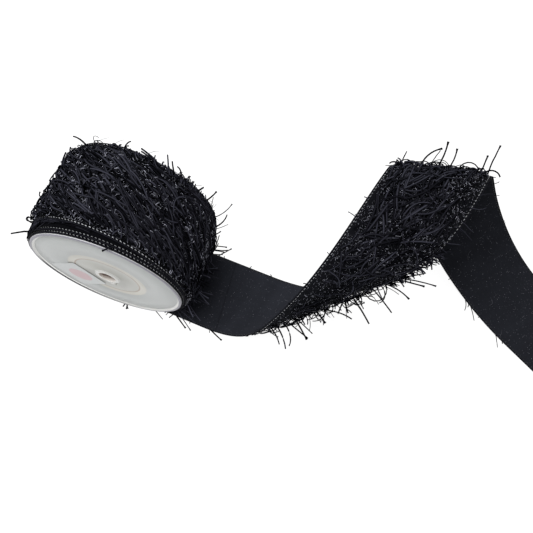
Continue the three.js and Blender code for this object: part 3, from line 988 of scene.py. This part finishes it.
# Columns: count, two turns back, across, length, thick, rest, lift, hook, heading, spread, bow
roll_kinds = [
    # Lying cords, up the left, over the top and down the right
    wound(130, 0.06, 0.34, length=(12, 27), spread=12),
    wound(460, 0.32, 0.72, length=(13, 28), spread=12, bow=26),
    wound(340, 0.64, 0.97, length=(9, 21), thick=(0.9, 1.5), spread=19, bow=55),
    wound(76, 0.06, 0.97, **WILD),
    wound(130, 0.25, 0.95, (-29.5, -22), (8, 17), (1.0, 1.6), spread=18, bow=50),
    # Fringe over the far edge, with the near wedge between its two kinds
    wound(220, 0.5, 0.9, (28, 31.5), (5, 8), (0.8, 1.3), (0, 0.6), (-6, 2), (-110, -60), 70, 30, 40, **PLAIN),
    wound(50, 1.28, 1.43, (-33, -27), (8, 16), (0.6, 1.1), (0.1, 1.2), (0, 6), (-8, 0), 146, 16, 40,
          **ONE_WAY),
    wound(160, 0.64, 0.82, (27, 31.5), (7, 10), (0.8, 1.3), (0, 0.6), (-4, 2), (-75, -45), 100, 22, 40,
          **PLAIN),
    # Strays, hooks and hairs
    wound(70, 0.06, 0.97, **STRAY),
    wound(16, 0.4, 0.5, (22, 31), (7, 13), **{**HOOKED, "thick": (0.5, 0.9)}),
    wound(3, 0.61, 0.64, (29.5, 31), (8, 11), (1.3, 1.6), REST, (25, 40), (-70, 0), 62, 10, **ONE_WAY),
    wound(12, 0.45, 0.75, (26, 31), (8, 18), (0.2, 0.35), REST, (8, 20), (-24, 0), 170, 20, 40, **PLAIN),
    wound(8, 0.3, 0.62, (24, 31), heading=60, spread=30, backwards=0.2, **STRAY),
    wound(2, 0.585, 0.605, (29, 31), (13, 16), (1.5, 1.7), REST, (16, 22), (0, 10), 0, 4, 8, **ONE_WAY),
    wound(70, 0.33, 0.45, length=(5, 10), **HOOKED),
    # A tight loop on the left
    wound(1, 0.368, 0.372, (-30.5, -30), (8, 8.4), (2.0, 2.2), (2.2, 2.3), (172, 178), (-340, -330), 90, 5, 5,
          **ONE_WAY),
    # Free cords over the tail
    wound(80, 0.84, 0.95, (-28.5, 22), (9, 19), (1.0, 1.4), REST, (25, 70), (-40, 20), 26, 30, 70,
          knobs=0.3, backwards=0.9, **OVER_TAIL),
    wound(26, 0.88, 0.96, (-30, 22), (12, 24), (0.9, 1.3), REST, (32, 48), (-15, 10), -10, 35, 40,
          droop=0.3, backwards=0, **OVER_TAIL),
    # Single cords about the front rim
    wound(1, 1.585, 1.59, (-33, -32), (6.5, 7), (1.4, 1.5), (0.8, 1), (5, 10), (-60, -50), -30, 4, 5,
          knobs=1, **ONE_WAY),
    wound(4, 0.03, 0.04, (-31, -29), (8, 10), lift=(0, 4), hook=(0, 2), heading=-85, spread=25, **ONE_WAY),
    wound(1, 1.385, 1.39, (-31, -30), (11, 12), (1.6, 1.7), REST, (46, 51), (-6, 6), -88, 4, 6, **ONE_WAY),
    # Dark cords along the wedge, and short ones at the selvedge
    wound(46, 1.38, 1.64, (-28.2, -23), (9, 17), (0.8, 1.4), (0.1, 0.8), (0, 4), (-8, 0), 177, 6, 16,
          bright=0.7, **PLAIN),
    wound(16, 0.64, 0.8, (-31.5, -27), (4, 9), (0.7, 1.2), (0, 0.8), (-2, 10), (-16, 0), -20, 30,
          backwards=0.3, inside=False),
    *(strand(-turn * TURN_LENGTH / MM, *how) for turn, *how in ROLL_STRANDS),
]
roll_nodes = [f"pile_row_roll_{i}" for i in (1, 2, 3, 4)]
add_cords("roll_cords", 21, on_roll, roll_kinds, yarn, CORD_BRIGHT, roll_nodes, on_spool=True)

# %% [markdown]
# The tail's pile has the same cords. They stand off most where the cloth turns away from the viewer, along
# the crest of the curl and along its underside, so their roots follow the slant of those two lines. Thin lint
# lies on the smooth back, which is the same surface with its height turned round.

# %% Cords on the tail
CREST_SLANT, UNDERSIDE_SLANT = 0.64, 1.39
CREST = dict(aslant=CREST_SLANT, free=True, bright=1.3)
UNDERSIDE = dict(aslant=UNDERSIDE_SLANT, inside=False)
EDGE_TICK = ((1.5, 3.5), (0.6, 1.0), (0, 0.2), (-4, 4), (-10, 10))
# Columns: along, across, length, thick, lift, hook, heading, knob
TAIL_STRANDS = [
    (28, 31.6, 9, 1.0, 0, 0, 20), (33, 31.6, 14, 1.2, 0, 0, 55, 1), (1, -31.5, 17, 0.8, 0, 0, -26),
    (25, -31.5, 14, 1.3, 0, 0, -29, 1), (57, -31.5, 15, 1.3, 0, 0, -24, 1), (98, -31, 15, 1.0, -2, 32, 0, 1),
    (111, -22, 15, 1.3, 60, 40), (115, -19.5, 20, 1.5, 68, 40), (120, -16.5, 21, 1.3, 52, 85),
    (123, -15.5, 24, 1.3, 54, 0), (128, -11.5, 19, 1.6, 76, 6, 0, 1), (128, -10.5, 19, 1.1, 56, 4),
    (132, -10, 8, 1.3, 70, 10), (135, -7.5, 9, 1.2, 50, 80), (142, -2, 13, 1.8, 66, 8, 0, 1),
    (153, 5, 21, 0.9, 20, 46, 180), (142, -2, 36, 1.4, 12, 44), (162, 12, 15, 1.7, 36, 10, 180),
    (162, 12, 12, 1.7, 66, 20, 180), (163, 13, 17, 0.7, 56, 16, 180), (166, 15, 25, 1.6, 72, 12),
    (174, 21.5, 32, 1.2, 112, -190), (179, 25, 24, 1.4, 68, 8), (184, 28.5, 18, 1.3, 40, 130),
    (186, 30, 24, 1.4, 30, 38, 0, 1), (184, 29, 17, 0.7, 34, 24), (196, 31, 22, 1.7, 38, 0, 30, 1),
    (196, 31, 30, 1.4, 22, 16, 40, 1), (197, 31, 22, 1.5, 18, -14, 40), (199, 31, 9, 1.5, 80, 0),
    (281, -27, 11, 1.2, 75, 0, 90), (289, -14.5, 20.5, 1.7, 85, -52, 90, 1), (292, -9, 15, 1.0, 74, -8, 90),
    (295, -4, 21, 1.6, 68, 20, 90, 1), (299, 3, 17, 1.5, 64, 26, 90, 1), (304, 10, 20, 1.4, 112, -170, 90),
    (313, 23.5, 14.5, 1.6, 72, 14, 90, 1), (316, 28.5, 22.5, 1.5, 84, -8, 90, 1),
    (314, 25.5, 15, 1.7, 78, -135, 90),
]
# Columns: count, along, across, length, thick, rest, lift, hook, heading, spread, bow
tail_kinds = [
    # Lying cords
    Cords(80, (86, 205), length=(10, 24), thick=(0.8, 1.3), spread=20, bow=60),
    Cords(120, (195, 300), spread=20, bow=50),
    Cords(130, (300, 420), spread=15, bow=45),
    Cords(90, (255, 296), (-28, 8), heading=-2, spread=18, bow=45, aslant=CREST_SLANT),
    Cords(60, (120, 300), aslant=1.0, **WILD),
    # Under the curl, and a fringe over its edge on the right
    Cords(8, (130, 152), (-24, 31), (6, 12), (0.5, 1.1), REST, (45, 85), (-60, 10), 26, 30, 75,
          knobs=0.5, droop=0.2, backwards=0.05, **UNDERSIDE),
    Cords(30, (130, 152), (-28, 31), (5, 10), (0.8, 1.2), REST, (45, 85), (-200, -60), 26, 35, 95,
          knobs=0.4, droop=0.1, backwards=0.1, **UNDERSIDE),
    Cords(110, (186, 238), (28, 31.3), (5, 9), (0.8, 1.3), (0, 0.5), (30, 75), (-80, 20), 60, 40, **PLAIN),
    # Hooks and arcs on the crest, and more under the curl
    Cords(60, (284, 300), length=(5, 10), **CREST, **HOOKED),
    Cords(22, (284, 294), (-26, 12), (9, 15), (1.2, 1.6), (0, 1), (60, 110), (-190, -110), 85, 40, 60,
          inside=False, **CREST),
    Cords(26, (134, 154), (-8, 25), (8, 16), (0.6, 1.2), REST, (50, 100), (-150, 60), 26, 50, 80,
          knobs=0.4, **UNDERSIDE),
    Cords(60, (290, 298), (2, 30), (8, 14), (1.1, 1.5), (0.4, 2), (0, 8), (-20, 0), 80, 25, **CREST),
    # Strays, and a few along both edges
    Cords(50, (150, 400), **STRAY),
    Cords(1, (222, 224), (-31.4, -31), (5.5, 6.5), (0.7, 0.8), (0, 0.1), (0, 4), (0, 8), -88, 4, 40,
          knobs=1, **ONE_WAY),
    Cords(8, (215, 300), (28, 31), (7, 12), (0.4, 0.8), REST, (0, 12), (-10, 10), 80, 25, 50, **ONE_WAY),
    Cords(3, (394, 482), (-31.8, -31.5), (8, 12), (0.5, 0.8), (0, 0.1), (0, 3), (0, 4), -30, 8, 30,
          knobs=0.3, **ONE_WAY),
    Cords(24, (8, 540), (-31.7, -30.9), *EDGE_TICK, -90, 40, 40, **PLAIN),
    Cords(24, (8, 540), (30.9, 31.7), *EDGE_TICK, 90, 40, 40, **PLAIN),
    # Loops that stand up along the crest
    Cords(26, (295, 302), (-24, 25), (13, 20), (0.8, 1.2), (0, 0.5), (65, 105), (-215, -130), 90, 55, 60,
          CREST_SLANT, knobs=0.3, backwards=0.4, inside=False),
    *(strand(*row) for row in TAIL_STRANDS),
]
lint_kind = Cords(
    70, (10, 545), (-31, 31), (3, 9), (0.14, 0.26), (0.05, 0.3), (0, 9), (-12, 0), 26, 90, 110,
    knobs=0, inside=False,
)


def on_tail_back(along, across, height):
    return on_tail(along, across, -height)


tail_nodes = [f"pile_row_tail_{i}" for i in (1, 2, 3)]
tail_cords = add_cords("tail_cords", 22, on_tail, tail_kinds, yarn, CORD_BRIGHT, tail_nodes)
tail_lint = add_cords("tail_lint", 23, on_tail_back, [lint_kind], lint, 1.0)

# %% [markdown]
# Between the cords the ground is a crimped grey and black thread. It shows as small glinting hooks, some
# scattered and some in bursts, whose hooks point outwards and stand higher. Each hook is a bent tube with
# three sides, which is enough for its size. They are duller at the roll's far edge, and low on the curl
# they are duller as painted shade, where the face turns down from the light.

# %% Crimped flecks
FLECK_RINGS, FLECK_SIDES = 3, 3
CLUMP_SPREAD = 2.1 * MM
FLECK_LIMIT = HALF_WIDTH - 2 * MM
LOW_EDGE = 7 * MM


def add_flecks(name, seed, surface, span, counts, bit, bright, reach=(1.3, 2.8), on_spool=False):
    """Counts holds the clumps, the hooks in each and the scattered ones. Bright says how pale a place is."""
    clumps, each, scattered = counts
    rng = np.random.default_rng(seed)
    start, end = span[0] * MM, span[1] * MM
    burst = clumps * each
    count = burst + scattered
    share = np.linspace(0, 1, FLECK_RINGS)
    raised = np.repeat([1.0, 0.0], [burst, scattered])
    evenly = (np.arange(clumps) + rng.uniform(0, 1, clumps)) / max(clumps, 1)
    golden = np.arange(clumps) * GOLDEN_STEP % 1
    middles = np.repeat(start + (end - start) * evenly, each)
    along = np.concatenate([middles, rng.uniform(start, end, scattered)])
    across = np.concatenate([np.repeat(golden * 2 - 1, each), rng.uniform(-1, 1, scattered)]) * FLECK_LIMIT
    aside = raised * rng.normal(0, CLUMP_SPREAD, count)
    off = raised * rng.normal(0, CLUMP_SPREAD, count)
    outwards = np.arctan2(off, aside) + rng.normal(0, 0.5, count)
    turning = np.where(raised > 0, outwards, rng.uniform(0, math.tau, count))
    turning = turning[:, None] + (rng.normal(0, 1.0, count) * (1 - 0.5 * raised))[:, None] * share
    length = rng.uniform(*reach, count) + raised * rng.uniform(0.3, 1.2, count)
    step = length[:, None] * bit / (FLECK_RINGS - 1)
    along = (along + aside)[:, None] + np.cumsum(np.cos(turning) * step, axis=1)
    across = (across + off)[:, None] + np.cumsum(np.sin(turning) * step, axis=1)
    across = np.clip(across, -FLECK_LIMIT, FLECK_LIMIT)
    low_edge = np.clip((HALF_WIDTH - np.abs(across)) / LOW_EDGE, 0.2, 1)
    rest = (rng.uniform(0.3, 1.4, count) + raised * rng.uniform(0.5, 1.7, count))[:, None] * MM
    height = low_edge * (rest + rng.uniform(0.0, 1.0, count)[:, None] * MM * np.sin(share * math.pi))
    radii = np.broadcast_to(rng.uniform(0.1, 0.16, count)[:, None] * bit, (count, FLECK_RINGS))
    lines = clear_of_floor(surface(along, across, height + CLOTH_THICK / 2), radii, on_spool)
    upward = unit(lines[:, 0] - surface(along[:, 0], across[:, 0], 0.0))
    shade = bright(along[:, 0], across[:, 0]) * rng.uniform(0, 1, count) ** (3.2 - 1.7 * raised)
    return add_piece(name, sweep(name, lines, radii, upward, FLECK_SIDES, shade), [glint])


def roll_bright(_, across):
    """Duller towards the far edge, where the flecks would stand pale against the floor."""
    return 0.2 + 0.8 * smooth_step(HALF_WIDTH - across, 2 * MM, 9 * MM)


def tail_painted_shade(along, _):
    """Painted shade: duller low on the curl, where the face turns down from the light."""
    return 0.42 + 0.48 * smooth_step(along, 140 * MM, 250 * MM)


outer_turn = turns_back(0.06, 0.97)
add_flecks("roll_flecks", 31, on_roll, outer_turn, (0, 0, 7500), 0.75 * MM, roll_bright, on_spool=True)
add_flecks("roll_clumps", 33, on_roll, outer_turn, (240, 13, 0), 1.0 * MM, roll_bright, on_spool=True)
tail_many = (170, 14, 10200)
tail_flecks = add_flecks("tail_flecks", 32, on_tail, (70, 450), tail_many, 0.66 * MM, tail_painted_shade, (0.8, 1.7))
tail_clumps = add_flecks("tail_clumps", 34, on_tail, (195, 335), (60, 15, 0), 0.8 * MM, tail_painted_shade)

# %% [markdown]
# The tail is a sheet with a known cut, and its flat size is printed.

print("tail's flat size", RIBBON_WIDTH, "by", round(TAIL_LENGTH, 4))
